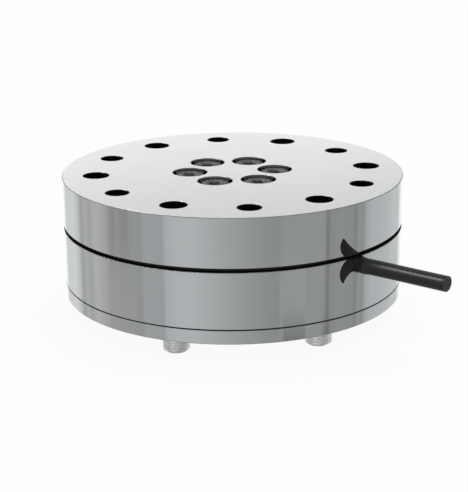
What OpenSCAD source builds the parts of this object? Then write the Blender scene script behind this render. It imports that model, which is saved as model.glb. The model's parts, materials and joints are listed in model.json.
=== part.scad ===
// Six-axis force torque sensor for a robot wrist.
// A steel housing in three stacked discs: a base plate and a lower body that bolt to the
// robot, and an upper flange that carries the tool. A spoked spring element joins the two
// halves inside, and a thin gap keeps them from touching. A moulded boot lets the cable out.
// Millimetres. The origin is the centre of the mounting face; +Z points to the tool.

/* [Housing] */
// Outer diameter of the housing
body_d = 156; // [154:1:170]
// Thickness of the base plate
base_t = 6.4; // [6:0.1:9]
// Height of the lower body above the base plate
lower_h = 25.4; // [25:0.1:32]
// Height of the open gap between the two halves
gap_h = 1.6; // [1:0.1:3]
// Thickness of the upper flange
upper_h = 22.1; // [21:0.1:30]
// Chamfer along the top and the bottom rim
rim_chamfer = 0.3; // [0.2:0.1:1.5]
// Chamfer on the edges at the seam and the gap
seam_chamfer = 0.3; // [0.1:0.05:0.6]
// Chamfer at the mouths of the driver holes and counterbores
mouth_chamfer = 0.15; // [0.1:0.05:0.8]

/* [Outer bolt circle] */
// Diameter of the outer bolt circle
outer_pcd = 125; // [124:0.5:127]
// Core diameter of the tapped tool holes (M12)
tool_tap_d = 10.2; // [8:0.1:11]
// Full depth of the tapped tool holes
tool_tap_depth = 17; // [12:0.5:18]
// Countersink at the mouths of the tapped tool holes
tap_sink = 0.45; // [0.1:0.05:0.45]
// Diameter of the driver holes above the mounting screws
driver_hole_d = 12; // [11:0.1:13]

/* [Mounting screws] */
// Thread diameter of the captive mounting screws
mount_thread_d = 12; // [10:1:12]
// Length of thread that stands out below the mounting face
mount_stick_out = 9.8; // [6:0.1:16]
// Depth of the waist between thread and head
mount_waist = 1; // [0.5:0.1:1.5]
// Head diameter
mount_head_d = 18; // [16:0.5:18]
// Head height
mount_head_h = 11.8; // [8:0.1:12]
// Width across flats of the hex socket
mount_hex_af = 10; // [6:0.5:10]
// Pocket diameter round each head
mount_pocket_d = 20.5; // [20:0.1:21]
// Metal left between the base plate and each pocket floor
mount_floor_t = 3.6; // [3:0.1:5]
// Clearance hole diameter
mount_clear_d = 13.5; // [12.5:0.1:14]
// Outer diameter of the lock washers
lock_washer_d = 19.5; // [18:0.1:19.8]
// Thickness of the lock washers
lock_washer_t = 2; // [1:0.1:2.2]

/* [Hub screws] */
// Diameter of the inner bolt circle
hub_pcd = 39.2; // [38:0.1:41]
// Thread diameter of the hub screws
hub_thread_d = 8; // [6:1:8]
// Head diameter
hub_head_d = 12.6; // [10:0.1:13]
// Head height
hub_head_h = 8; // [6:0.1:9]
// Width across flats of the hex socket
hub_hex_af = 6; // [4:0.5:6]
// Counterbore diameter in the top face
hub_bore_d = 16; // [14:0.1:16.5]
// How far each head sits below the top face
hub_head_recess = 0.9; // [0.3:0.1:2]
// Thread length held in the hub
hub_grip = 11; // [8:0.5:13]

/* [Spring element] */
// Hub diameter
hub_d = 54; // [50:0.5:55]
// Wire bore through the hub
hub_wire_bore_d = 16; // [8:0.5:20]
// Thickness of the upper flange over the hub
hub_plate_t = 14.5; // [13:0.1:16]
// Inner diameter of the rim
rim_in_d = 82; // [80:0.5:83]
// Height of the rim and the flexure bars
rim_h = 10; // [8:0.5:10]
// Width of each spoke
spoke_w = 9; // [5:0.5:12]
// Height of each spoke
spoke_h = 8; // [5:0.5:8]
// Distance from the axis to the inner face of each flexure bar
flexure_x = 36; // [34:0.5:36.5]
// Thickness of each flexure bar
flexure_t = 2.6; // [1.5:0.1:3.5]
// Fillet where spoke and flexure bar meet
flexure_fillet = 1.5; // [0.5:0.1:3]
// Running clearance round the rim
rim_clearance = 0.1; // [0.05:0.05:0.3]

/* [Cavity] */
// Diameter of the cavity round the spring element
cavity_d = 100; // [99.6:0.1:101]
// Diameter of the bay that holds the circuit board
bay_d = 80; // [76:0.5:81]
// Height of the bay above the base plate
bay_h = 7.6; // [7.4:0.1:9]
// Diameter of the hollow under the upper flange
hollow_d = 103; // [101:0.5:104]

/* [Cable] */
// Outer diameter of the cable
cable_d = 6.8; // [5:0.1:7]
// Distance of the cable from the radial line through its neighbouring mounting screw
cable_offset = 10; // [9.8:0.1:10.5]
// Cover between the cable and the gap
cable_cover = 0.1; // [0.05:0.05:0.4]
// Rubber wall of the boot round the cable
boot_wall = 0.5; // [0.4:0.1:1.2]
// Thickness of the boot's tail on the housing
tail_t = 1; // [0.6:0.1:2]
// Radius of the round outer edge of the tail's upper half
tail_lobe_r = 5.35; // [5.2:0.05:5.6]

/* [Electronics] */
// Clearance between the circuit board and the bay
board_gap = 3; // [2.5:0.5:6]
// Hole in the middle of the circuit board
board_hole_d = 20; // [8:0.5:30]
// Thickness of the circuit board
board_t = 1.6; // [0.8:0.1:2]
// Height of the board standoffs
standoff_h = 3.2; // [2:0.1:3.5]
// Distance of the board screws from the edge of the board
board_edge = 4; // [3:0.5:5]

/* [Stops, dowels and seals] */
// Diameter of the overload stop pins
stop_pin_d = 6; // [4:0.5:6]
// Radial clearance of the stop pins in the upper flange
stop_clearance = 0.2; // [0.1:0.05:0.5]
// Diameter of the dowels between base plate and lower body
dowel_d = 4; // [3:0.5:5]
// Thread diameter of the base plate screws
plate_thread_d = 5; // [4:0.5:6]
// Diameter of the pilot recess in the mounting face
pilot_d = 80; // [60:1:90]
// Depth of the pilot recess
pilot_depth = 2.5; // [1:0.1:2.8]
// Diameter of the robot-side dowel hole
robot_dowel_d = 8; // [5:0.5:8]
// Outer diameter of the gap seal
gap_seal_d = 151; // [149:0.5:152]
// Radial width of the gap seal
gap_seal_w = 2.5; // [1.5:0.1:4]

/* [Hidden] */

$fn = 96;
EPS = 0.05;            // how far a cutter runs past the face that it opens
BOLTS = 6;             // holes in each bolt circle
STEP = 360 / BOLTS;    // angle between neighbouring bolts
SPOKES = 3;            // spokes of the spring element

// Heights of the main faces
body_r = body_d / 2;
z_plate = base_t;
z_gap_lo = base_t + lower_h;
z_gap_hi = z_gap_lo + gap_h;
z_gap = (z_gap_lo + z_gap_hi) / 2;
z_top = z_gap_hi + upper_h;
z_floor = z_plate + mount_floor_t;       // floor of the mounting screw pockets
z_shoulder = z_plate + bay_h;            // shoulder that the spring element sits on
z_rim_top = z_shoulder + rim_h;
z_hub_top = z_top - hub_plate_t;
z_hub_foot = z_shoulder + 1;
z_spoke = z_hub_foot;

// Overload stops
STOP_START = STEP / 4;
stop_seat = 10;                          // depth of the stop pins in the lower body
stop_reach = 8;                          // how far they stand into the upper flange

// Base plate screws, with countersunk heads flush with the mounting face
plate_head_d = 2 * plate_thread_d;
plate_head_h = (plate_head_d - plate_thread_d) / 2;
plate_screw_l = 14;
plate_hex_af = 0.6 * plate_thread_d;
plate_hex_depth = 2;

// Dowels between base plate and lower body, outside two of the plate screws
dowel_pcd = outer_pcd + 18;
dowel_reach = 4;                         // length in each of the two pieces

// Rim screws in the middle of the rim, with heads let into it
rim_w = (cavity_d - rim_in_d) / 2 - rim_clearance;
rim_screw_pcd = rim_in_d + rim_w;
rim_thread_d = 0.45 * rim_w;
rim_head_d = 1.7 * rim_thread_d;
rim_head_h = rim_thread_d;
rim_hex_af = 0.8 * rim_thread_d;
rim_screw_l = rim_h - rim_head_h + 1.2 * rim_thread_d;

// Base seal in its groove
seal_d = 92;
seal_groove_w = 2.8;
seal_groove_depth = 2;
seal_section_d = 2.5;

// Cable exit. Its line runs beside the mounting screw at EXIT_ANGLE and parallel to the
// radial line through that screw.
EXIT_ANGLE = -STEP;
z_cable = z_gap_lo - cable_cover - cable_d / 2;
slot_r = cable_d / 2 + boot_wall;
exit_x = sqrt(body_r * body_r - cable_offset * cable_offset);
neck_l = 5.3;                            // length of the boot inside the wall
nose_x = exit_x + 1.9;                   // flat face of the boot, where the free cable starts
nose_lip = 0.15;                         // rubber round the cable at that face
flare_l = 3;                             // length of the taper
inner_w = cable_d + 0.6;                 // width of the cable's way inside the housing
// Free route of the cable from the boot: distance out, distance sideways, height
ROUTE = [[0, 0, 0], [2, 0.3, 0], [4, 0.95, 0], [7, 1.9, 0], [12, 3.28, 0], [18, 4.85, 0],
         [25, 6.7, 0], [33, 8.85, 0], [40.6, 10.9, 0]];
CABLE_SIDES = 12;

// Tail of the boot and the guard above the gap, drawn on a sheet seen from outside with the
// cable's line at x = 0 and the middle of the gap at y = 0
upper_lobe = [-6, 5.4];                  // centre of the outer edge of the upper half
lower_lobe = [-4.9, -6.85];              // centre of the outer edge of the lower half
lower_bay = [-2.9, -13.9];               // centre of the hollow under the lower half
lower_bay_r = 7.8;
upper_bay = [19.1, 32.2];                // centre of the hollow beside the upper half
upper_bay_r = 37;

// Clamp that holds the cable on the rim
clamp_l = rim_w / 2;
clamp_w = 14;
clamp_x = rim_in_d / 2 + 0.5;
clamp_h = z_cable + cable_d / 2 + 1.2 - z_rim_top;
clamp_screw_d = 0.28 * rim_w;
clamp_screw_gap = cable_d + 3.6;
tail_end_x = clamp_x - 1;

// Signal wires
WIRES = 4;
wire_d = 0.2 * cable_d;
wire_pitch = 0.24 * cable_d;
wire_bend_r = 0.75 * cable_d;
wire_x = tail_end_x - 1.5 * cable_d;     // where the wires drop to the connector

// Circuit board
board_d = bay_d - 2 * board_gap;
board_screw_pcd = board_d - 2 * board_edge;
layout = board_d / 74;                   // the chips' places are drawn for a 74 mm board
z_board = z_plate + standoff_h;
z_board_top = z_board + board_t;
BOARD_SCREWS = 4;
BOARD_START = 15;
board_thread_d = 3;
board_head_d = 5.5;
board_head_h = 1.7;
standoff_d = 6;
stud_l = 3;
connector = [6, 9, 2.6] * layout;

// Foil gauges
gauge = [5, 4, 0.2];
gauge_x = (hub_d / 2 + flexure_x) / 2;

// ---- helpers ----

// Puts its children at n places on a circle
module on_circle(pcd, n = BOLTS, start = 0) {
    for (i = [0 : n - 1])
        rotate([0, 0, start + i * 360 / n])
            translate([pcd / 2, 0, 0])
                children();
}

// A disc from z0 to z1 with a chamfer round its lower and upper edges
module disc(d, z0, z1, lower, upper) {
    r = d / 2;
    rotate_extrude($fn = 360)
        polygon([[0, z0], [r - lower, z0], [r, z0 + lower], [r, z1 - upper],
                 [r - upper, z1], [0, z1]]);
}

// A straight round cutter that runs from z0 to z1
module cut(d, z0, z1) {
    translate([0, 0, z0])
        cylinder(d = d, h = z1 - z0);
}

// The chamfer of a hole's mouth in the face at height z
module mouth(d, z, chamfer = mouth_chamfer) {
    translate([0, 0, z - chamfer])
        cylinder(d1 = d, d2 = d + 2 * (chamfer + EPS), h = chamfer + EPS);
}

// A flat ring
module ring(d_out, d_in, z0, z1) {
    difference() {
        cut(d_out, z0, z1);
        cut(d_in, z0 - EPS, z1 + EPS);
    }
}

// A hexagonal prism with its top at z = 0
module hex_cut(af, depth) {
    translate([0, 0, -depth])
        cylinder(d = af / cos(30), h = depth + EPS, $fn = 6);
}

// A socket head screw with its seat at z = 0 and its thread pointing down. A waist takes
// its depth off the shank's radius, from the seat down to waist_l.
module socket_screw(d, head_d, head_h, len, af, waist = 0, waist_l = 0) {
    brk = 0.05 * head_d;
    tip = 0.08 * d;
    r = d / 2;
    shank = waist_l > 0 ? [[r, -waist_l], [r - waist, -waist_l], [r - waist, 0]] : [[r, 0]];
    difference() {
        rotate_extrude()
            polygon(concat([[0, -len], [r - tip, -len], [r, tip - len]], shank,
                           [[head_d / 2, 0], [head_d / 2, head_h - brk],
                            [head_d / 2 - brk, head_h], [0, head_h]]));
        translate([0, 0, head_h])
            hex_cut(af, 0.5 * head_h);
    }
}

// Turns to the cable's line: X runs out along the cable, Y to its side, Z up
module at_cable() {
    rotate([0, 0, EXIT_ANGLE])
        translate([0, cable_offset, z_cable])
            children();
}

// A round bar along the cable's line
module along(d, x0, x1) {
    translate([x0, 0, 0])
        rotate([0, 90, 0])
            cylinder(d = d, h = x1 - x0);
}

// The slot that the cable is laid in, round below and open towards the gap from its left side
// to x = free. It runs past the rim of the lower body by over.
module cable_slot(width, x0, x1, free, over = 0) {
    top = z_gap_lo - z_cable + over;
    translate([x0, 0, 0])
        rotate([90, 0, 90])
            linear_extrude(height = x1 - x0)
                intersection() {
                    union() {
                        circle(d = width);
                        translate([-width / 2, 0])
                            square([width / 2 + free, top]);
                    }
                    translate([-width, -width])
                        square([2 * width, width + top]);
                }
}

// A flat sheet, drawn in side and height, as a skin on the outside of the housing
module skin(z0, z1) {
    intersection() {
        ring(2 * (body_r + tail_t), body_d, z0, z1);
        rotate([0, 0, EXIT_ANGLE])
            translate([exit_x - 4, cable_offset, z_gap])
                rotate([90, 0, 90])
                    linear_extrude(height = 8)
                        children();
    }
}

// Both halves of the tail before the two hollows are cut
module tail_sheet() {
    translate(upper_lobe)
        circle(r = tail_lobe_r);
    translate([upper_lobe.x, 0])
        square([-upper_lobe.x, upper_lobe.y]);
    translate(lower_lobe)
        circle(r = 1.2 * tail_lobe_r);
}

// ---- housing ----

module upper_flange() {
    color([0.80, 0.81, 0.80])
    difference() {
        disc(body_d, z_gap_hi, z_top, seam_chamfer, rim_chamfer);
        cut(hollow_d, z_gap_hi - EPS, z_hub_top);
        // driver holes straight above the mounting screws
        on_circle(outer_pcd) {
            cut(driver_hole_d, z_gap_hi - EPS, z_top + EPS);
            mouth(driver_hole_d, z_top);
        }
        // tapped tool holes, each with a drill point
        on_circle(outer_pcd, start = STEP / 2) {
            cut(tool_tap_d, z_top - tool_tap_depth, z_top + EPS);
            mouth(tool_tap_d, z_top, tap_sink);
            translate([0, 0, z_top - tool_tap_depth - 0.29 * tool_tap_d])
                cylinder(d1 = 0, d2 = tool_tap_d, h = 0.29 * tool_tap_d);
        }
        // counterbored holes for the hub screws
        on_circle(hub_pcd) {
            cut(hub_thread_d + 0.8, z_hub_top - EPS, z_top);
            cut(hub_bore_d, z_top - hub_head_h - hub_head_recess, z_top + EPS);
            mouth(hub_bore_d, z_top);
        }
        // blind holes that the stop pins stand in
        on_circle(outer_pcd, SPOKES, STOP_START)
            cut(stop_pin_d + 2 * stop_clearance, z_gap_hi - EPS, z_gap_lo + stop_reach + 1);
    }
}

module lower_body() {
    color([0.72, 0.73, 0.72])
    difference() {
        disc(body_d, z_plate, z_gap_lo, seam_chamfer, seam_chamfer);
        cut(cavity_d, z_shoulder, z_gap_lo + EPS);
        cut(bay_d, z_plate - EPS, z_shoulder + EPS);
        on_circle(outer_pcd) {
            cut(mount_pocket_d, z_floor, z_gap_lo + EPS);
            cut(mount_clear_d, z_plate - EPS, z_floor + EPS);
        }
        on_circle(outer_pcd, start = STEP / 2)
            cut(plate_thread_d, z_plate - EPS, plate_screw_l);
        on_circle(outer_pcd, SPOKES, STOP_START)
            cut(stop_pin_d, z_gap_lo - stop_seat, z_gap_lo + EPS);
        on_circle(dowel_pcd, 2, STEP / 2)
            cut(dowel_d, z_plate - EPS, z_plate + dowel_reach);
        on_circle(rim_screw_pcd, start = STEP / 2)
            cut(rim_thread_d, z_rim_top - rim_head_h - rim_screw_l, z_shoulder + EPS);
        ring(seal_d + seal_groove_w, seal_d - seal_groove_w, z_plate - EPS,
             z_plate + seal_groove_depth);
        at_cable() {
            cable_slot(inner_w, cavity_d / 2 - 5, exit_x - neck_l, inner_w / 2, EPS);
            cable_slot(2 * slot_r, exit_x - neck_l, body_r, 0, EPS);
        }
    }
}

module base_plate() {
    color([0.70, 0.71, 0.70])
    difference() {
        disc(body_d, 0, z_plate, rim_chamfer, seam_chamfer);
        cut(pilot_d, -EPS, pilot_depth);
        on_circle(outer_pcd)
            cut(mount_clear_d, -EPS, z_plate + EPS);
        on_circle(outer_pcd, start = STEP / 2) {
            cut(plate_thread_d, -EPS, z_plate + EPS);
            cylinder(d1 = plate_head_d, d2 = plate_thread_d, h = plate_head_h);
        }
        on_circle(dowel_pcd, 2, STEP / 2)
            cut(dowel_d, z_plate - dowel_reach, z_plate + EPS);
        on_circle(outer_pcd, 1, 3 * STEP / 4)
            cut(robot_dowel_d, -EPS, z_plate - 1.4);
        on_circle(board_screw_pcd, BOARD_SCREWS, BOARD_START)
            cut(board_thread_d, z_plate - stud_l, z_plate + EPS);
    }
}

// ---- spring element: hub, spokes, flexure bars and rim machined from one piece ----

// A quarter-round fillet in the corner at the origin, filling towards +X and +Y
module corner_fillet(r) {
    difference() {
        square(r);
        translate([r, r])
            circle(r = r);
    }
}

// One spoke with its fillets, along +X
module spoke_sheet() {
    translate([hub_d / 2 - 2, -spoke_w / 2])
        square([flexure_x - hub_d / 2 + 2 + EPS, spoke_w]);
    for (side = [0, 1])
        mirror([0, side])
            translate([flexure_x, spoke_w / 2])
                mirror([1, 0])
                    corner_fillet(flexure_fillet);
}

// The rim and its flexure bars: chords across the rim, free of it along their middles
module rim_sheet() {
    difference() {
        circle(d = cavity_d - 2 * rim_clearance);
        circle(d = rim_in_d);
    }
    for (i = [0 : SPOKES - 1])
        rotate(i * 360 / SPOKES)
            intersection() {
                translate([flexure_x, -rim_in_d / 2])
                    square([flexure_t, rim_in_d]);
                circle(d = rim_in_d + 2);
            }
}

module spring_element() {
    color([0.62, 0.64, 0.67])
    difference() {
        union() {
            translate([0, 0, z_shoulder])
                linear_extrude(height = rim_h)
                    rim_sheet();
            cut(hub_d, z_hub_foot, z_hub_top);
            for (i = [0 : SPOKES - 1])
                rotate([0, 0, i * 360 / SPOKES])
                    translate([0, 0, z_spoke])
                        linear_extrude(height = spoke_h)
                            spoke_sheet();
        }
        cut(hub_wire_bore_d, z_hub_foot - EPS, z_hub_top + EPS);
        on_circle(hub_pcd)
            cut(hub_thread_d, z_hub_top - hub_grip - 1, z_hub_top + EPS);
        on_circle(rim_screw_pcd, start = STEP / 2) {
            cut(rim_thread_d + 0.4, z_shoulder - EPS, z_rim_top);
            cut(rim_head_d + 0.5, z_rim_top - rim_head_h, z_rim_top + EPS);
        }
        at_cable()
            for (side = [-1, 1])
                translate([clamp_x + clamp_l / 2, side * clamp_screw_gap / 2, 0])
                    cut(clamp_screw_d, z_rim_top - 6 - z_cable, z_rim_top + EPS - z_cable);
    }
}

// Foil gauges on the top, the underside and both flanks of every spoke
module strain_gauges() {
    color([0.85, 0.55, 0.20])
    for (i = [0 : SPOKES - 1])
        rotate([0, 0, i * 360 / SPOKES])
            translate([gauge_x, 0, z_spoke + spoke_h / 2]) {
                for (z = [-spoke_h / 2 - gauge.z, spoke_h / 2])
                    translate([-gauge.x / 2, -gauge.y / 2, z])
                        cube(gauge);
                for (y = [-spoke_w / 2 - gauge.z, spoke_w / 2])
                    translate([-gauge.x / 2, y, -gauge.y / 2])
                        cube([gauge.x, gauge.z, gauge.y]);
            }
}

// ---- fasteners, dowels and stops ----

module hub_screws() {
    color([0.55, 0.56, 0.58])
    on_circle(hub_pcd)
        translate([0, 0, z_top - hub_head_recess - hub_head_h])
            socket_screw(hub_thread_d, hub_head_d, hub_head_h,
                         z_top - hub_head_recess - hub_head_h - z_hub_top + hub_grip,
                         hub_hex_af);
}

module rim_screws() {
    color([0.30, 0.30, 0.32])
    on_circle(rim_screw_pcd, start = STEP / 2)
        translate([0, 0, z_rim_top - rim_head_h])
            socket_screw(rim_thread_d, rim_head_d, rim_head_h, rim_screw_l, rim_hex_af);
}

module mounting_screws() {
    seat = z_floor + lock_washer_t;
    color([0.75, 0.76, 0.78])
    on_circle(outer_pcd)
        translate([0, 0, seat])
            socket_screw(mount_thread_d, mount_head_d, mount_head_h,
                         seat + mount_stick_out, mount_hex_af, mount_waist, seat);
}

module lock_washers() {
    color([0.60, 0.60, 0.62])
    on_circle(outer_pcd)
        ring(lock_washer_d, mount_thread_d + 1, z_floor, z_floor + lock_washer_t);
}

module plate_screws() {
    r = plate_thread_d / 2;
    color([0.55, 0.56, 0.58])
    on_circle(outer_pcd, start = STEP / 2)
        difference() {
            rotate_extrude()
                polygon([[0, 0], [plate_head_d / 2, 0], [r, plate_head_h],
                         [r, plate_screw_l - 0.5], [r - 0.5, plate_screw_l],
                         [0, plate_screw_l]]);
            mirror([0, 0, 1])
                hex_cut(plate_hex_af, plate_hex_depth);
        }
}

module dowels() {
    color([0.65, 0.66, 0.68])
    on_circle(dowel_pcd, 2, STEP / 2)
        disc(dowel_d, z_plate - dowel_reach, z_plate + dowel_reach, 0.3, 0.3);
}

module stop_pins() {
    color([0.65, 0.66, 0.68])
    on_circle(outer_pcd, SPOKES, STOP_START)
        disc(stop_pin_d, z_gap_lo - stop_seat, z_gap_lo + stop_reach, 0.4, 0.4);
}

// ---- seals ----

module gap_seal() {
    color([0.05, 0.05, 0.05])
    ring(gap_seal_d, gap_seal_d - 2 * gap_seal_w, z_gap_lo, z_gap_hi);
}

// A round cord pressed flat between the groove and the base plate
module base_seal() {
    color([0.05, 0.05, 0.05])
    translate([0, 0, z_plate + seal_groove_depth / 2])
        rotate_extrude($fn = 180)
            translate([seal_d / 2, 0])
                intersection() {
                    circle(d = seal_section_d, $fn = 48);
                    square([2 * seal_section_d, seal_groove_depth], center = true);
                }
}

// ---- cable exit ----

// The boot's neck in the wall, which tapers outside it to a short nose round the cable
module boot_neck() {
    intersection() {
        at_cable()
            cable_slot(2 * slot_r, exit_x - neck_l, nose_x, 0);
        union() {
            cut(body_d + tail_t, z_plate, z_top);
            at_cable()
                translate([nose_x - flare_l, 0, 0])
                    rotate([0, 90, 0])
                        cylinder(r1 = slot_r + 0.5, r2 = cable_d / 2 + nose_lip, h = flare_l);
        }
    }
}

// Moulded boot: a neck that tapers to a nose round the cable, and the lower half of the tail
module cable_boot() {
    color([0.10, 0.10, 0.11])
    difference() {
        union() {
            skin(z_plate, z_gap_lo)
                difference() {
                    tail_sheet();
                    translate(lower_bay)
                        circle(r = lower_bay_r);
                }
            boot_neck();
        }
        at_cable()
            along(cable_d, exit_x - neck_l - 1, nose_x + 1);
    }
}

// The upper half of the tail, a pad on the flange that keeps its edge off the cable
module chafe_guard() {
    color([0.10, 0.10, 0.11])
    skin(z_gap_hi, z_top)
        difference() {
            tail_sheet();
            translate(upper_bay)
                circle(r = upper_bay_r);
        }
}

// Direction of the route at point i, as an angle about Z
function heading(i) =
    let (a = ROUTE[max(i - 1, 0)], b = ROUTE[min(i + 1, len(ROUTE) - 1)])
    i == 0 ? 0 : atan2(b.y - a.y, b.x - a.x);

// One ring of the cable's skin, square to the route
function cable_ring(i) =
    [for (k = [0 : CABLE_SIDES - 1])
        let (a = (k + 0.5) * 360 / CABLE_SIDES, side = cable_d / 2 * cos(a))
        ROUTE[i] + [-sin(heading(i)) * side, cos(heading(i)) * side, cable_d / 2 * sin(a)]];

module cable() {
    rings = len(ROUTE);
    n = CABLE_SIDES;
    points = [for (i = [0 : rings - 1]) each cable_ring(i)];
    sides = [for (i = [0 : rings - 2], k = [0 : n - 1])
             [i * n + k, i * n + (k + 1) % n, (i + 1) * n + (k + 1) % n, (i + 1) * n + k]];
    near_end = [for (k = [n - 1 : -1 : 0]) k];
    far_end = [for (k = [0 : n - 1]) (rings - 1) * n + k];
    color([0.12, 0.12, 0.13])
    at_cable()
        translate([nose_x, 0, 0])
            polyhedron(points, concat(sides, [near_end], [far_end]));
}

// The cable's run through the boot and the walls, up to the clamp
module cable_tail() {
    color([0.12, 0.12, 0.13])
    at_cable()
        along(cable_d, tail_end_x, nose_x);
}

module cable_clamp() {
    color([0.70, 0.70, 0.72])
    at_cable()
        difference() {
            translate([clamp_x, -clamp_w / 2, z_rim_top - z_cable])
                cube([clamp_l, clamp_w, clamp_h]);
            along(cable_d, clamp_x - 1, clamp_x + clamp_l + 1);
            for (side = [-1, 1])
                translate([clamp_x + clamp_l / 2, side * clamp_screw_gap / 2, 0])
                    cut(clamp_screw_d, -2 * cable_d, 2 * cable_d);
        }
}

module clamp_screws() {
    color([0.30, 0.30, 0.32])
    at_cable()
        for (side = [-1, 1])
            translate([clamp_x + clamp_l / 2, side * clamp_screw_gap / 2,
                       z_rim_top - z_cable + clamp_h])
                socket_screw(clamp_screw_d, 1.7 * clamp_screw_d, clamp_screw_d,
                             clamp_h + 5, 0.8 * clamp_screw_d);
}

// Wires from the cable's end, bent down through the spring element to the connector
module signal_wires() {
    bend_x = wire_x + wire_bend_r;
    drop = z_cable - wire_bend_r - z_board_top - connector.z;
    color([0.75, 0.70, 0.25])
    at_cable()
        for (i = [0 : WIRES - 1])
            translate([0, (i - (WIRES - 1) / 2) * wire_pitch, 0]) {
                along(wire_d, bend_x, tail_end_x);
                translate([bend_x, 0, -wire_bend_r])
                    rotate([90, 0, 0])
                        rotate_extrude(angle = 90, start = 90)
                            translate([wire_bend_r, 0])
                                circle(d = wire_d, $fn = 24);
                translate([wire_x, 0, -wire_bend_r - drop])
                    cylinder(d = wire_d, h = drop);
            }
}

// ---- electronics ----

module circuit_board() {
    color([0.05, 0.35, 0.18])
    difference() {
        ring(board_d, board_hole_d, z_board, z_board_top);
        on_circle(board_screw_pcd, BOARD_SCREWS, BOARD_START)
            cut(board_thread_d, z_board - EPS, z_board_top + EPS);
    }
}

// Standoffs, each with a stud held in the base plate
module board_standoffs() {
    color([0.80, 0.70, 0.40])
    on_circle(board_screw_pcd, BOARD_SCREWS, BOARD_START)
        difference() {
            union() {
                translate([0, 0, z_plate])
                    cylinder(d = standoff_d, h = standoff_h, $fn = 6);
                cut(board_thread_d, z_plate - stud_l, z_plate + EPS);
            }
            cut(board_thread_d, z_plate + 0.6, z_board + EPS);
        }
}

module board_screws() {
    color([0.60, 0.60, 0.62])
    on_circle(board_screw_pcd, BOARD_SCREWS, BOARD_START)
        translate([0, 0, z_board_top])
            socket_screw(board_thread_d, board_head_d, board_head_h,
                         board_t + standoff_h - 1, 0.6 * board_thread_d);
}

// Amplifiers, converter, controller and capacitors: angle, radius and size of each
module board_chips() {
    color([0.08, 0.08, 0.09])
    for (c = [[45, 22, [7, 7, 1.2]], [90, 24, [6, 5, 1.5]], [150, 23, [6, 5, 1.5]],
              [240, 24, [6, 5, 1.5]], [180, 29, [4, 3, 1.8]], [65, 31, [3, 2, 1]],
              [125, 31, [3, 2, 1]], [345, 24, [9, 9, 1.4]], [0, 32, [3, 2, 1]],
              [265, 31, [3, 2, 1]]])
        rotate([0, 0, c[0]])
            translate([0, 0, z_board_top])
                scale(layout)
                    translate([c[1] - c[2].x / 2, -c[2].y / 2, 0])
                        cube(c[2]);
}

module board_connector() {
    color([0.90, 0.88, 0.80])
    rotate([0, 0, EXIT_ANGLE])
        translate([wire_x - connector.x / 2, cable_offset - connector.y / 2, z_board_top])
            cube(connector);
}

upper_flange();
lower_body();
base_plate();
spring_element();
strain_gauges();
hub_screws();
rim_screws();
mounting_screws();
lock_washers();
plate_screws();
dowels();
stop_pins();
gap_seal();
base_seal();
cable_boot();
chafe_guard();
cable();
cable_tail();
cable_clamp();
clamp_screws();
signal_wires();
circuit_board();
board_standoffs();
board_screws();
board_chips();
board_connector();
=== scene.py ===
"""The looks of a force torque sensor for a robot wrist.

A polished steel housing in three discs, its screws, a moulded cable boot and a short
cable stand on a pale floor in soft studio light. Sizes are in metres, in the part's frame.
"""

from __future__ import annotations

import json
import logging
import math
from dataclasses import dataclass, field
from enum import Enum
from typing import Iterable, Protocol, Sequence

import bmesh
import bpy
from mathutils import Matrix, Vector


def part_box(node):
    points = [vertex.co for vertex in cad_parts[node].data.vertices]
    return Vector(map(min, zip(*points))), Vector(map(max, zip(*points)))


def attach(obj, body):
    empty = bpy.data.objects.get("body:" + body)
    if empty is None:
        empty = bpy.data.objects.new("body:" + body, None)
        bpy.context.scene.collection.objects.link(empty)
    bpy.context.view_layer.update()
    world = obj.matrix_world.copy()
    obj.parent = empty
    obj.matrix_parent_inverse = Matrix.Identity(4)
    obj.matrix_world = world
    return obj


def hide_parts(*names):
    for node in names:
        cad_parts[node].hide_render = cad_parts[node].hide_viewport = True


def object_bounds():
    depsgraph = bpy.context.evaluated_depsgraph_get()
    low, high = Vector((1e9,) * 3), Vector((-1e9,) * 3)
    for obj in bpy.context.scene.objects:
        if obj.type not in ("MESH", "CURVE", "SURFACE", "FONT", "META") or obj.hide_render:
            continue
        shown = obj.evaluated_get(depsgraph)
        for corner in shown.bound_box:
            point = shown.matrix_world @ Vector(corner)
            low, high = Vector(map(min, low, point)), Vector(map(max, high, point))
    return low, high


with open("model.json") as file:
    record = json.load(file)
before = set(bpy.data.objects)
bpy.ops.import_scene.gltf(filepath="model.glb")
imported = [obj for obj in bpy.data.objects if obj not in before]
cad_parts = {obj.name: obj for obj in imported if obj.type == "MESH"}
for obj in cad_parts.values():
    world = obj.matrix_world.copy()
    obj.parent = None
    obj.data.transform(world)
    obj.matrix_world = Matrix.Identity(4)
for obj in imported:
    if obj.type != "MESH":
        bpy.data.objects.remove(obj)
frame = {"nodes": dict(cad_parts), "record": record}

log = logging.getLogger("sensor")

Colour = tuple[float, float, float]
MM = 0.001
CAD_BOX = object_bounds()


# ---- shader recipes ----


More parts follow.
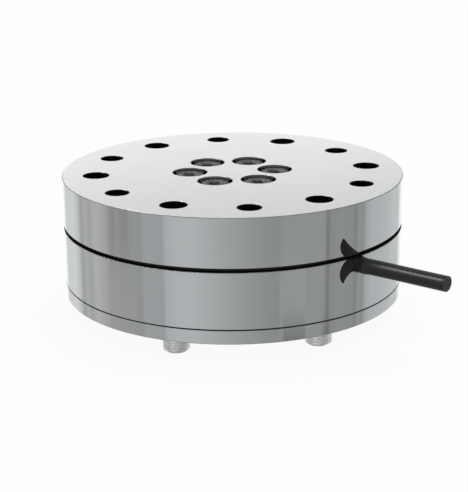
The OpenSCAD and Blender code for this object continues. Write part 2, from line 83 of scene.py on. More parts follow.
@dataclass(frozen=True)
class Wire:
    """A shader socket that takes part in Python arithmetic."""

    recipe: "Recipe"
    socket: bpy.types.NodeSocket

    def _join(self, operation: str, left: "Wire | float", right: "Wire | float") -> "Wire":
        """Adds a Math node on two terms."""
        return self.recipe.math(operation, left, right)

    def __add__(self, other: "Wire | float") -> "Wire":
        """Sum."""
        return self._join("ADD", self, other)

    def __radd__(self, other: float) -> "Wire":
        """Sum with a number on the left."""
        return self._join("ADD", other, self)

    def __sub__(self, other: "Wire | float") -> "Wire":
        """Difference."""
        return self._join("SUBTRACT", self, other)

    def __rsub__(self, other: float) -> "Wire":
        """Difference with a number on the left."""
        return self._join("SUBTRACT", other, self)

    def __mul__(self, other: "Wire | float") -> "Wire":
        """Product."""
        return self._join("MULTIPLY", self, other)

    def __rmul__(self, other: float) -> "Wire":
        """Product with a number on the left."""
        return self._join("MULTIPLY", other, self)

    def __truediv__(self, other: "Wire | float") -> "Wire":
        """Quotient."""
        return self._join("DIVIDE", self, other)


class Recipe:
    """Builds one node tree."""

    def __init__(self, tree: bpy.types.NodeTree) -> None:
        """Takes a node tree and empties it."""
        self.tree = tree
        tree.nodes.clear()

    def node(
        self,
        kind: str,
        settings: dict[str, object] | None = None,
        values: dict[int | str, object] | None = None,
    ) -> bpy.types.Node:
        """Adds a node, sets it up and feeds its sockets.

        Args:
            kind: The node's type.
            settings: Its own settings; "stops" fills a colour ramp.
            values: A number, a colour or a wire for each named or numbered socket.

        Returns:
            The new node.
        """
        made = self.tree.nodes.new(kind)
        for name, value in (settings or {}).items():
            if name == "stops":
                self._fill(made.color_ramp, value)
            else:
                setattr(made, name, value)
        for name, value in (values or {}).items():
            target = made.inputs[name]
            if isinstance(value, Wire):
                self.tree.links.new(value.socket, target)
            elif target.type == "RGBA" and len(value) == 3:
                target.default_value = (*value, 1.0)
            else:
                target.default_value = value
        return made

    @staticmethod
    def _fill(ramp: bpy.types.ColorRamp, stops: Sequence[tuple[float, Colour]]) -> None:
        """Gives a ramp its stops.

        Args:
            ramp: The colour ramp.
            stops: Position and colour of each stop, in rising order.
        """
        while len(ramp.elements) > 1:
            ramp.elements.remove(ramp.elements[-1])
        ramp.elements[0].position = stops[0][0]
        ramp.elements[0].color = (*stops[0][1], 1.0)
        for position, colour in stops[1:]:
            ramp.elements.new(position).color = (*colour, 1.0)

    def wire(self, node: bpy.types.Node, output: int | str = 0) -> Wire:
        """Wraps a node's output."""
        return Wire(self, node.outputs[output])

    def math(self, operation: str, *terms: Wire | float) -> Wire:
        """Adds a Math node on these terms."""
        node = self.node("ShaderNodeMath", {"operation": operation}, dict(enumerate(terms)))
        return self.wire(node)

    def smooth(self, value: Wire, start: float, end: float) -> Wire:
        """A soft step of a value.

        Args:
            value: What is tested.
            start: Where the result is 0.
            end: Where it is 1; it may lie below start.

        Returns:
            A wire from 0 to 1.
        """
        node = self.node(
            "ShaderNodeMapRange",
            {"interpolation_type": "SMOOTHSTEP", "clamp": True},
            {0: value, 1: start, 2: end, 3: 0.0, 4: 1.0},
        )
        return self.wire(node)

    def near(self, value: Wire, level: float, off: float, on: float) -> Wire:
        """Falls from 1 to 0 between two distances of a value from a level."""
        return self.smooth(self.math("ABSOLUTE", value - level), off, on)

    def vector(self, x: Wire | float, y: Wire | float, z: Wire | float) -> Wire:
        """Three numbers as a vector."""
        return self.wire(self.node("ShaderNodeCombineXYZ", None, {0: x, 1: y, 2: z}))

    def split(self, vector: Wire) -> tuple[Wire, Wire, Wire]:
        """A vector as three numbers."""
        node = self.node("ShaderNodeSeparateXYZ", None, {0: vector})
        return self.wire(node, 0), self.wire(node, 1), self.wire(node, 2)

    def place(self) -> Wire:
        """The surface point in the part's frame, in millimetres."""
        coordinates = self.wire(self.node("ShaderNodeTexCoord"), "Object")
        return self.shade(coordinates, 1 / MM)

    def noise(self, vector: Wire, scale: float, detail: float = 2.0, rough: float = 0.5) -> Wire:
        """Noise from 0 to 1; the scale is in waves for each unit of the vector."""
        values = {"Vector": vector, "Scale": scale, "Detail": detail, "Roughness": rough}
        return self.wire(self.node("ShaderNodeTexNoise", {"noise_dimensions": "3D"}, values))

    def ramp(self, factor: Wire, stops: Sequence[tuple[float, Colour]]) -> Wire:
        """A colour ramp."""
        return self.wire(self.node("ShaderNodeValToRGB", {"stops": stops}, {0: factor}))

    def mix(self, factor: Wire | float, a: Wire | Colour, b: Wire | Colour) -> Wire:
        """Colour a where the factor is 0, and b where it is 1."""
        node = self.node("ShaderNodeMix", {"data_type": "RGBA"}, {0: factor, 6: a, 7: b})
        return self.wire(node, 2)

    def shade(self, vector: Wire, factor: Wire | float) -> Wire:
        """Multiplies a colour or a vector by a value."""
        settings, values = {"operation": "SCALE"}, {0: vector, "Scale": factor}
        return self.wire(self.node("ShaderNodeVectorMath", settings, values))

    def relief(self, height: Wire, depth: float, strength: float = 1.0) -> Wire:
        """A bent normal; the depth is what a height of 1 stands for, in metres."""
        values = {"Strength": strength, "Distance": depth, "Height": height}
        return self.wire(self.node("ShaderNodeBump", None, values))


class Surface(Recipe):
    """A material's node tree, which ends in one Principled shader."""

    def __init__(self, name: str) -> None:
        """Makes the material.

        Args:
            name: The material's name.
        """
        self.material = bpy.data.materials.new(name)
        self.material.use_nodes = True
        super().__init__(self.material.node_tree)

    def close(self, **values: Wire | float | Colour) -> bpy.types.Material:
        """Feeds the shader and ends the tree.

        Args:
            **values: Socket names with underscores for blanks.

        Returns:
            The finished material.
        """
        named = {name.replace("_", " "): value for name, value in values.items()}
        shader = self.node("ShaderNodeBsdfPrincipled", None, named)
        self.node("ShaderNodeOutputMaterial", None, {0: self.wire(shader)})
        return self.material


# ---- finishes ----


class Finish(Protocol):
    """What a piece is dressed in."""

    def build(self, name: str) -> bpy.types.Material:
        """Makes the material, under this name."""


class Lay(Enum):
    """Which way the tool marks of a machined piece run."""

    TURNED = "rings round the part's axis"
    MILLED = "short strokes across the piece"
    BLASTED = "no direction"


@dataclass(frozen=True)
class HousingSteel:
    """Fine-turned and polished steel of the three housing discs; lengths in millimetres.

    Args:
        radius: Outer radius.
        open_face: Height of the face that shows.
        seams: Heights of the seams, whose edges get painted shade.
        gap_face: Height of the face at the gap, which gets painted shade, or None.
        shaded_bores: True if the outer bores get painted shade, in black.
        side_rough: Roughness of the wall.
        face_rough: Roughness of the open face.
        chamfer: Width of the broken rims.
        hub_reach: Radius within which the bores are the bright ones of the hub.
        steel: Colour of the wall.
        face_steel: Colour of the open face.
        rim_shade: Painted shade on the broken rims, which hides their reflection.
        hub_steel: Colour of the hub's bores.
        mouth_shade: Painted shade at their mouths.
        rubbed: Colour along the tool marks.
        shade_black: Colour of the painted shade in the outer bores and at the gap.
        seam_shade: Colour of the painted shade at the seams.
    """

    radius: float
    open_face: float
    seams: tuple[float, ...] = ()
    gap_face: float | None = None
    shaded_bores: bool = False
    side_rough: float = 0.085
    face_rough: float = 0.22
    chamfer: float = 0.3
    hub_reach: float = 35.0
    steel: Colour = (0.675, 0.70, 0.705)
    face_steel: Colour = (0.735, 0.75, 0.742)
    rim_shade: Colour = (0.3, 0.31, 0.31)
    hub_steel: Colour = (0.74, 0.75, 0.76)
    mouth_shade: Colour = (0.26, 0.265, 0.27)
    rubbed: Colour = (0.55, 0.56, 0.57)
    shade_black: Colour = (0.008, 0.008, 0.009)
    seam_shade: Colour = (0.04, 0.04, 0.042)

    def _rims(self, s: Surface, r: Wire, z: Wire) -> Wire:
        """Mask of the broken rims, and of what lies deeper than the wall's facets: where shade is
        painted to hide their reflection.

        Args:
            s: The surface.
            r: Distance from the axis.
            z: Height.

        Returns:
            The mask.
        """
        off, on = self.chamfer + 0.02, self.chamfer - 0.01
        # the wall's facets lie up to 0.024 inside the true radius, so the rest starts past that
        rims = s.near(z, self.open_face, off, on)
        if self.gap_face is not None:
            rims = s.math("MAXIMUM", rims, s.near(z, self.gap_face, off, on))
        inner = s.smooth(r, self.radius - 0.03, self.radius - 0.06)
        return s.math("MAXIMUM", rims, inner)

    def _bores(
        self, s: Surface, r: Wire, z: Wire, inside: Wire, base: Wire, rough: Wire
    ) -> tuple[Wire, Wire]:
        """Paints black shade into the outer bores, brightens the hub's bores, and paints shade at
        their mouths.

        Args:
            s: The surface.
            r: Distance from the axis.
            z: Height.
            inside: Mask of all that is neither wall nor open face.
            base: Colour so far.
            rough: Roughness so far.

        Returns:
            Colour and roughness.
        """
        outer = s.smooth(r, self.hub_reach - 1.0, self.hub_reach + 1.0)
        black, hub = inside * outer, inside * (1.0 - outer)
        mouth = hub * s.near(z, self.open_face, 0.6, 0.4)
        # painted shade: the outer bores are coloured black
        base = s.mix(black, base, self.shade_black)
        base = s.mix(hub * 0.9, base, self.hub_steel)
        # painted shade: the mouths of the hub's bores are darkened
        base = s.mix(mouth * 0.85, base, self.mouth_shade)
        return base, rough + black * 0.4 + mouth * 0.4

    def build(self, name: str) -> bpy.types.Material:
        """Makes the material: tool marks, clouds and scuffs, the bores, and painted shade on the
        rims, in the bores, at the gap and at the seams.

        Args:
            name: The material's name.

        Returns:
            The material.
        """
        s = Surface(name)
        at = s.place()
        x, y, z = s.split(at)
        r = s.math("SQRT", x * x + y * y)
        wall = s.smooth(r, self.radius - 3 * self.chamfer, self.radius - 2 * self.chamfer)
        face = s.near(z, self.open_face, 0.06, 0.02)
        # rings on the faces, fine lines round the wall
        rings = s.noise(s.vector(r * 1.6, x * 0.012, y * 0.012), 1.0, 3.0, 0.6)
        lines = s.noise(s.vector(x * 0.01, y * 0.01, z * 2.2), 1.0, 3.0, 0.65)
        marks = rings + (lines - rings) * wall
        cloud = s.noise(at, 0.035, 3.0, 0.55)
        scuffs = s.smooth(s.noise(s.vector(x * 0.5, y * 0.09, z * 0.5), 1.0, 4.0, 0.7), 0.62, 0.75)
        base = s.mix(face, self.steel, self.face_steel)
        base = s.mix((marks - 0.5) * 0.10 + cloud * 0.10, base, self.rubbed)
        rough = self.side_rough + (self.face_rough - self.side_rough) * face
        rough = rough + (marks - 0.5) * 0.04 + (cloud - 0.5) * 0.03 + scuffs * 0.03
        # painted shade: the broken rims are darkened and roughened so that they show no bright
        # reflection
        edge = wall * (1.0 - face) * self._rims(s, r, z)
        base = s.mix(edge * 0.8, base, self.rim_shade)
        rough = rough + edge * 0.75
        # painted shade: the outer bores and the pockets inside the wall are coloured black
        if self.shaded_bores:
            inside = (1.0 - wall) * (1.0 - face)
            base, rough = self._bores(s, r, z, inside, base, rough)
        # painted shade: the face at the gap is coloured black so that the gap reads dark
        if self.gap_face is not None:
            gap = 1.0 - s.smooth(r, self.radius - 0.25, self.radius - 0.15)
            gap = s.near(z, self.gap_face, 0.12, 0.06) * gap
            base = s.mix(gap, base, self.shade_black)
            rough = rough + gap * 0.4
        # painted shade: the rims at the seams between the discs are darkened
        for seam in self.seams:
            seam_shade = s.near(z, seam, 0.42, 0.28)
            base = s.mix(seam_shade * 0.85, base, self.seam_shade)
            rough = rough + seam_shade * 0.2
        normal = s.relief(marks + scuffs * 0.3, 0.0000016, 0.6)
        return s.close(Base_Color=base, Metallic=1.0, Roughness=rough, Normal=normal)


@dataclass(frozen=True)
class Metal:
    """A machined, plated or oxidised metal.

    Args:
        tint: Its colour.
        rough: Its mean roughness.
        lay: Which way its tool marks run.
        waves: Tool marks for each millimetre.
        depth: Depth of the marks in metres.
        worn: Colour where it is rubbed or stained.
        worn_share: How much of it is.
        metallic: 1 for bare metal, less for an oxide skin.
    """

    tint: Colour
    rough: float = 0.3
    lay: Lay = Lay.BLASTED
    waves: float = 1.5
    depth: float = 0.000004
    worn: Colour = (0.5, 0.5, 0.5)
    worn_share: float = 0.2
    metallic: float = 1.0

    def build(self, name: str) -> bpy.types.Material:
        """Makes the material.

        Args:
            name: The material's name.

        Returns:
            The material.
        """
        s = Surface(name)
        at = s.place()
        x, y, z = s.split(at)
        if self.lay is Lay.TURNED:
            r = s.math("SQRT", x * x + y * y)
            where = s.vector(r * self.waves, x * 0.02 + z * self.waves, y * 0.02)
        elif self.lay is Lay.MILLED:
            where = s.vector(x * self.waves, y * self.waves * 0.08, z * self.waves * 0.3)
        else:
            where = s.vector(x * self.waves, y * self.waves, z * self.waves)
        marks = s.noise(where, 1.0, 3.0, 0.6)
        cloud = s.noise(at, 0.21, 3.0, 0.6)
        rubbed = s.smooth(cloud + (marks - 0.5) * 0.25, 0.5, 0.72)
        base = s.mix(rubbed * self.worn_share, self.tint, self.worn)
        rough = self.rough + (marks - 0.5) * 0.12 + (0.5 - rubbed) * 0.05
        normal = s.relief(marks, self.depth, 0.7)
        return s.close(Base_Color=base, Metallic=self.metallic, Roughness=rough, Normal=normal)


@dataclass(frozen=True)
class DarkScrew:
    """Phosphated screw steel whose knurl is worn bright.

    Args:
        tint: Colour of the phosphate.
        stain: Colour of its lighter clouds.
        bare: Colour of the worn crests.
        rough: Roughness of the phosphate.
    """

    tint: Colour = (0.185, 0.19, 0.192)
    stain: Colour = (0.25, 0.25, 0.255)
    bare: Colour = (0.8, 0.81, 0.82)
    rough: float = 0.6

    def build(self, name: str) -> bpy.types.Material:
        """Makes the material.

        Args:
            name: The material's name.

        Returns:
            The material.
        """
        s = Surface(name)
        at = s.place()
        crest = s.wire(s.node("ShaderNodeAttribute", {"attribute_name": "worn"}), "Fac")
        grain = s.noise(at, 2.5, 3.0, 0.6)
        cloud = s.noise(at, 0.4, 3.0, 0.6)
        base = s.mix(s.smooth(cloud, 0.5, 0.75) * 0.25, self.tint, self.stain)
        base = s.mix(s.smooth(crest, 0.35, 0.8), base, self.bare)
        rough = self.rough + (grain - 0.5) * 0.1 + crest * 0.15
        normal = s.relief(grain, 0.000004, 0.6)
        return s.close(Base_Color=base, Metallic=1.0, Roughness=rough, Normal=normal)


@dataclass(frozen=True)
class Polymer:
    """Rubber, moulded plastic or film.

    Args:
        tint: Its colour.
        dust: Colour of the dust and bloom on it.
        rough: Its mean roughness.
        grain: Grains for each millimetre.
        depth: Depth of the grain in metres.
        dusty: Share of dust.
        gloss: Weight of a clear coat.
        specular: Strength of its plain reflection.
    """

    tint: Colour
    dust: Colour = (0.12, 0.12, 0.12)
    rough: float = 0.6
    grain: float = 2.0
    depth: float = 0.00001
    dusty: float = 0.1
    gloss: float = 0.0
    specular: float = 0.5

    def build(self, name: str) -> bpy.types.Material:
        """Makes the material.

        Args:
            name: The material's name.

        Returns:
            The material.
        """
        s = Surface(name)
        at = s.place()
        pores = s.noise(at, self.grain, 4.0, 0.65)
        cloud = s.noise(at, 0.25, 3.0, 0.6)
        dust = s.smooth(cloud + (pores - 0.5) * 0.3, 0.45, 0.75)
        base = s.mix(dust * self.dusty, self.tint, self.dust)
        rough = self.rough + (pores - 0.5) * 0.15 + dust * 0.08
        normal = s.relief(pores, self.depth, 0.6)
        return s.close(
            Base_Color=base,
            Metallic=0.0,
            Roughness=rough,
            Normal=normal,
            Coat_Weight=self.gloss,
            Specular_IOR_Level=self.specular,
        )


@dataclass(frozen=True)
class Sheath:
    """Smooth extruded cable sheath; its marks follow the cable.

    Args:
        tint: Colour of the sheath.
        filler: Colour of the filler that shows in the cut end.
        smudge: Colour of the finger marks on it.
        rough: Its mean roughness.
    """

    tint: Colour = (0.0085, 0.0085, 0.0095)
    filler: Colour = (0.014, 0.014, 0.015)
    smudge: Colour = (0.06, 0.06, 0.062)
    rough: float = 0.32

    def build(self, name: str) -> bpy.types.Material:
        """Makes the material.

        Args:
            name: The material's name.

        Returns:
            The material.
        """
        s = Surface(name)
        laid = s.wire(s.node("ShaderNodeAttribute", {"attribute_name": "laid"}), "Vector")
        core = s.wire(s.node("ShaderNodeAttribute", {"attribute_name": "core"}), "Fac")
        along, across, up = s.split(laid)
        streak = s.noise(s.vector(along * 60.0, across * 2200.0, up * 2200.0), 1.0, 3.0, 0.6)
        smudge = s.noise(s.vector(along * 160.0, across * 260.0, up * 260.0), 1.0, 3.0, 0.6)
        base = s.mix(core, self.tint, self.filler)
        base = s.mix(s.smooth(smudge, 0.5, 0.8) * 0.10, base, self.smudge)
        rough = self.rough + (streak - 0.5) * 0.08 + (smudge - 0.5) * 0.14 + core * 0.25
        normal = s.relief(streak, 0.00001, 0.5)
        return s.close(
            Base_Color=base, Metallic=0.0, Roughness=rough, Normal=normal, Specular_IOR_Level=0.44
        )


@dataclass(frozen=True)
class Laminate:
    """Green solder mask over copper tracks on glass laminate.

    Args:
        mask: Colour of the solder mask.
        track: Its colour over a track.
        glass: Colour of the glass weave where it shows through.
    """

    mask: Colour = (0.012, 0.12, 0.05)
    track: Colour = (0.03, 0.2, 0.08)
    glass: Colour = (0.05, 0.2, 0.1)

    def build(self, name: str) -> bpy.types.Material:
        """Makes the material.

        Args:
            name: The material's name.

        Returns:
            The material.
        """
        s = Surface(name)
        at = s.place()
        x, y, _ = s.split(at)
        cells = s.node(
            "ShaderNodeTexBrick",
            {"offset": 0.37, "squash": 1.7},
            {"Vector": s.vector(x * 0.3, y * 0.3, 0.0), "Scale": 1.0, "Mortar Size": 0.06},
        )
        tracks = s.wire(cells, "Fac")
        weave = s.noise(at, 3.0, 2.0, 0.5)
        base = s.mix(tracks, self.mask, self.track)
        base = s.mix((weave - 0.4) * 0.3, base, self.glass)
        normal = s.relief(tracks * 0.8 + weave * 0.2, 0.00003, 0.6)
        rough = 0.32 + (weave - 0.5) * 0.1
        return s.close(Base_Color=base, Metallic=0.0, Roughness=rough, Normal=normal)


# ---- mesh helpers ----


def lathe(mesh: bmesh.types.BMesh, profile: Sequence[tuple[float, float]], steps: int) -> None:
    """Turns a profile about the Z axis into a closed skin.

    Args:
        mesh: Receives the skin.
        profile: Radius and height of each point, from axis to axis.
        steps: Faces round the axis.
    """
    verts = [mesh.verts.new((radius, 0.0, height)) for radius, height in profile]
    edges = [mesh.edges.new(pair) for pair in zip(verts, verts[1:])]
    bmesh.ops.spin(
        mesh,
        geom=[*verts, *edges],
        cent=(0, 0, 0),
        axis=(0, 0, 1),
        angle=math.tau,
        steps=steps,
        use_merge=True,
    )
    bmesh.ops.remove_doubles(mesh, verts=mesh.verts, dist=1e-7)


def finish_mesh(mesh: bmesh.types.BMesh, name: str, sharp: float = 35.0) -> bpy.types.Object:
    """Turns a bmesh into a scene object with smooth shading between sharp edges.

    Args:
        mesh: The mesh, which is freed.
        name: The object's name.
        sharp: Angle in degrees past which an edge stays sharp.

    Returns:
        The object, at the origin.
    """
    bmesh.ops.remove_doubles(mesh, verts=mesh.verts, dist=2e-7)
    bmesh.ops.recalc_face_normals(mesh, faces=mesh.faces)
    data = bpy.data.meshes.new(name)
    mesh.to_mesh(data)
    mesh.free()
    data.polygons.foreach_set("use_smooth", [True] * len(data.polygons))
    data.set_sharp_from_angle(angle=math.radians(sharp))
    made = bpy.data.objects.new(name, data)
    bpy.context.scene.collection.objects.link(made)
    return made


def repeat_round(mesh: bmesh.types.BMesh, count: int, radius: float) -> None:
    """Moves all that is in the mesh out to a circle and repeats it round Z.

    Args:
        mesh: The mesh.
        count: Number of places, the first one on X.
        radius: Radius of the circle.
    """
    bmesh.ops.translate(mesh, verts=mesh.verts, vec=(radius, 0, 0))
    first = [*mesh.verts, *mesh.edges, *mesh.faces]
    for i in range(1, count):
        copy = bmesh.ops.duplicate(mesh, geom=first)["geom"]
        turned = [item for item in copy if isinstance(item, bmesh.types.BMVert)]
        turn = Matrix.Rotation(math.tau * i / count, 3, "Z")
        bmesh.ops.rotate(mesh, verts=turned, cent=(0, 0, 0), matrix=turn)


def settle(made: bpy.types.Object, slot: str, finish: Finish, nodes: Sequence[str]) -> None:
    """Gives a piece its body, finish and slot, and hides the solids that it stands for.

    Args:
        made: The piece.
        slot: The record's material slot.
        finish: Its finish.
        nodes: CAD nodes that it stands for.
    """
    made.data.materials.clear()
    made.data.materials.append(finish.build(slot + "_on_" + made.name))
    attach(made, "root")
    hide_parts(*nodes)
    log.info("%s: %d faces for %s", made.name, len(made.data.polygons), ", ".join(nodes))


# ---- camera, floor and light ----


@dataclass
class Viewpoint:
    """The camera, aimed at the middle of the tool face and then turned a little off it.

    Args:
        distance: Distance from the middle of the tool face, in metres.
        elevation: Angle above the tool face, in degrees.
        heading: Angle round the axis, in degrees.
        yaw: Turn to the side after aiming, in degrees.
        pitch: Tilt after that, in degrees.
        roll: Turn about the line of sight after that, in degrees.
        lens: Focal length in millimetres on a sensor of this width.
        sensor: Width of the sensor, in millimetres.
    """

    distance: float = 0.67169
    elevation: float = 14.4613
    heading: float = -6.4107
    yaw: float = -0.0382
    pitch: float = -2.9644
    roll: float = 0.4835
    lens: float = 106.69
    sensor: float = 36.0

    def build(self) -> bpy.types.Object:
        """Makes the camera and sets it as the scene's.

        Returns:
            The camera object.
        """
        e = math.radians(self.elevation)
        back = Vector((0, -math.cos(e), math.sin(e)))
        ahead, right = -back, Vector((1, 0, 0))
        up = right.cross(ahead)
        turn = Matrix.Rotation(math.radians(self.yaw), 3, up)
        ahead, right = turn @ ahead, turn @ right
        turn = Matrix.Rotation(math.radians(self.pitch), 3, right)
        ahead, up = turn @ ahead, turn @ up
        turn = Matrix.Rotation(math.radians(self.roll), 3, ahead)
        right, up = turn @ right, turn @ up
        place = Matrix((right, up, -ahead)).transposed().to_4x4()
        place.translation = back * self.distance
        swing = Matrix.Rotation(math.radians(self.heading), 4, "Z")
        lift = Matrix.Translation((0, 0, CAD_BOX[1].z))
        data = bpy.data.cameras.new("camera")
        data.lens, data.sensor_width, data.clip_start = self.lens, self.sensor, 0.01
        camera = bpy.data.objects.new("camera", data)
        camera.matrix_world = lift @ swing @ place
        bpy.context.scene.collection.objects.link(camera)
        bpy.context.scene.camera = camera
        return camera


@dataclass(frozen=True)
class Card:
    """A panel of the studio that metal sees.

    Args:
        azimuths: Its edges in degrees, 0 towards the camera and rising to its right.
        elevations: Its lower and upper edge in degrees.
        light: Its brightness.
        soft: Width of its soft edges in degrees.
    """

    azimuths: tuple[float, float]
    elevations: tuple[float, float]
    light: Colour
    soft: float = 0.6

    def mask(self, r: Recipe, azimuth: Wire, elevation: Wire) -> Wire:
        """Where the card is seen.

        Args:
            r: The world's recipe.
            azimuth: Direction's azimuth in degrees.
            elevation: Its elevation in degrees.

        Returns:
            1 on the card and 0 off it.
        """
        inside: Wire | float = 1.0
        for value, (low, high) in ((azimuth, self.azimuths), (elevation, self.elevations)):
            inside = r.smooth(value, low - self.soft, low + self.soft) * inside
            inside = r.smooth(value, high + self.soft, high - self.soft) * inside
        return inside


def grey(level: float, warm: float = 0.0, green: float = 0.0) -> Colour:
    """A brightness, with a share moved from blue to red and a share added to green."""
    return (level * (1 + warm), level * (1 + green), level * (1 - warm))


@dataclass
class Studio:
    """White sweep, soft panels round the object, and one lamp overhead.

    Args:
        heading: Direction of azimuth 0 round the axis, in degrees.
        left: Azimuth and light of the panels on the left.
        right: Azimuth and light of the panels on the right.
        cards: Small panels in front of those.
        strip: Bright strip that the cable's highlight shows.
        post: Dark stand of a panel.
        backdrop: Height, as a share of a right angle, and light of the sweep behind.
        room: The same of the room elsewhere.
        fill: Light that all but metal gets from the world.
        under: Light that metal gets from straight below.
        streak: Strength of the narrow streaks towards both sides.
        tilt: How much darker the backdrop is on the right.
        reach: Half the floor's width, in metres.
        glow: Share of plain white in the floor, as the camera sees it.
        lamp_size: Length and width of the lamp overhead, in metres.
        lamp_place: Its place in metres, above and behind the object.
        lamp_power: Its power in watts.
    """

    heading: float = -6.41
    left: tuple[tuple[float, Colour], ...] = (
        (-180, grey(1.08)),
        (-160.8, grey(1.08)),
        (-156.8, grey(0.95)),
        (-153.8, grey(0.74)),
        (-146.7, grey(0.78)),
        (-133.5, grey(0.84)),
        (-126.3, grey(0.68)),
        (-122.2, grey(0.47)),
        (-116, grey(0.57, 0.0, -0.01)),
        (-110.9, grey(0.50, 0.0, -0.02)),
        (-105.7, grey(0.61, 0.0, -0.02)),
        (-93.2, grey(0.52, 0.0, -0.02)),
        (-89, grey(0.38, 0.0, -0.02)),
        (-85.9, grey(0.35, 0.0, -0.02)),
        (-83.3, grey(0.43, 0.0, -0.02)),
        (-79.6, grey(0.37, 0.0, -0.02)),
        (-74.4, grey(0.35, 0.0, -0.02)),
        (-71.2, grey(0.41, 0.0, -0.01)),
        (-62.4, grey(0.41)),
        (-61.7, grey(0.475, -0.01)),
        (-50.1, grey(0.465, -0.01)),
        (-46.9, grey(0.44, -0.01)),
        (-45.8, grey(0.57, -0.01)),
        (-36.3, grey(0.62, -0.01)),
        (-27.7, grey(0.62, -0.01)),
        (-15, grey(0.56, -0.01)),
        (-5.3, grey(0.50, -0.005)),
        (0, grey(0.47, 0.0, 0.01)),
    )
    right: tuple[tuple[float, Colour], ...] = (
        (0, grey(0.47, 0.0, 0.01)),
        (8.5, grey(0.43, 0.0, 0.01)),
        (19.2, grey(0.385, 0.0, 0.01)),
        (28.8, grey(0.36, 0.0, 0.005)),
        (34.1, grey(0.39)),
        (63.4, grey(0.40)),
        (64.4, grey(0.25, 0.02, -0.02)),
        (65.9, grey(0.25, 0.02, -0.02)),
        (66.8, grey(0.35)),
        (76.5, grey(0.375, -0.005)),
        (86.9, grey(0.36, -0.005)),
        (89.6, grey(0.29)),
        (91.6, grey(0.41)),
        (94.3, grey(0.40)),
        (96.3, grey(0.345)),
        (99.5, grey(0.52, -0.01)),
        (105.7, grey(0.60, -0.01)),
        (117.1, grey(0.62, -0.01)),
        (128.4, grey(0.65, -0.01)),
        (137.6, grey(0.70, -0.01)),
        (142.6, grey(0.66, -0.01)),
        (148.7, grey(0.69, -0.005)),
        (152.8, grey(0.88)),
        (157.8, grey(1.06)),
        (180, grey(1.08)),
    )
    cards: tuple[Card, ...] = (
        Card((-91.1, -81.7), (-40, -17.9), grey(0.455, 0.0, -0.01), 0.35),
        Card((-81.7, -68), (-40, -17.9), grey(0.435, 0.0, -0.01), 0.35),
        Card((31, 49), (-20.6, -18.3), grey(0.455, -0.005, 0.0), 0.35),
        Card((33, 49), (-40, -20.6), grey(0.215, 0.0, 0.0), 0.35),
        Card((61.5, 67.5), (-40, -21.2), grey(0.03), 0.3),
    )
    strip: Card = Card((-98, -74), (36, 56), grey(10.0), 4.0)
    post: Card = Card((58, 69), (-20, 60), grey(0.05), 0.7)
    backdrop: tuple[tuple[float, Colour], ...] = (
        (0.0, grey(1.45)),
        (0.135, grey(1.42)),
        (0.15, grey(1.32)),
        (0.18, grey(0.60)),
        (0.24, grey(0.55)),
    )
    room: tuple[tuple[float, Colour], ...] = (
        (0.0, grey(0.62)),
        (0.4, grey(0.66)),
        (1.0, grey(0.5)),
    )
    fill: float = 0.85
    under: float = 0.34
    streak: float = 0.35
    tilt: float = 0.10
    reach: float = 4.0
    glow: float = 0.93
    lamp_size: tuple[float, float] = (1.4, 0.8)
    lamp_place: tuple[float, float, float] = (0.35, 0.3, 1.5)
    lamp_power: float = 5.0

    def _direction(self, r: Recipe) -> tuple[Wire, Wire]:
        """Azimuth and elevation of the direction that is looked in.

        Args:
            r: The world's recipe.

        Returns:
            Both angles in degrees.
        """
        x, y, z = r.split(r.wire(r.node("ShaderNodeTexCoord"), "Generated"))
        turn = math.radians(-self.heading)
        across = x * math.cos(turn) - y * math.sin(turn)
        ahead = x * -math.sin(turn) - y * math.cos(turn)
        azimuth = r.math("ARCTAN2", across, ahead) * math.degrees(1)
        return azimuth, r.math("ARCSINE", z) * math.degrees(1)

    def _ring(self, r: Recipe, azimuth: Wire, elevation: Wire) -> Wire:
        """Light of the panels that stand round the object.

        Args:
            r: The world's recipe.
            azimuth: Direction's azimuth in degrees.
            elevation: Its elevation in degrees.

        Returns:
            The light.
        """
        left = r.ramp(azimuth / 180.0 + 1.0, [(a / 180 + 1, c) for a, c in self.left])
        right = r.ramp(azimuth / 180.0, [(a / 180, c) for a, c in self.right])
        ring = r.mix(r.math("GREATER_THAN", azimuth, 0.0), left, right)
        # narrow streaks where the panels' edges overlap, towards both sides
        streaks = r.noise(r.vector(azimuth * 0.45, 0.0, 0.0), 1.0, 3.0, 0.7) - 0.5
        streaks = streaks * r.smooth(r.math("ABSOLUTE", azimuth), 60.0, 85.0)
        ring = r.shade(ring, 1.0 + streaks * self.streak)
        for card in self.cards:
            ring = r.mix(card.mask(r, azimuth, elevation), ring, card.light)
        return ring

    def _sky(self, r: Recipe, azimuth: Wire, elevation: Wire) -> Wire:
        """Light from above the panels: the room, and the backdrop behind the object.

        Args:
            r: The world's recipe.
            azimuth: Direction's azimuth in degrees.
            elevation: Its elevation in degrees.

        Returns:
            The light.
        """
        height, aside = elevation / 90.0, r.math("ABSOLUTE", azimuth)
        to_right = r.math("SIGN", azimuth) * r.smooth(aside, 178.0, 170.0)
        backdrop = r.shade(r.ramp(height, self.backdrop), 1.0 - to_right * self.tilt)
        behind = r.smooth(aside, 140.0, 160.0) * r.smooth(elevation, 40.0, 25.0)
        sky = r.mix(behind, r.ramp(height, self.room), backdrop)
        for card in (self.strip, self.post):
            sky = r.mix(card.mask(r, azimuth, elevation), sky, card.light)
        return sky

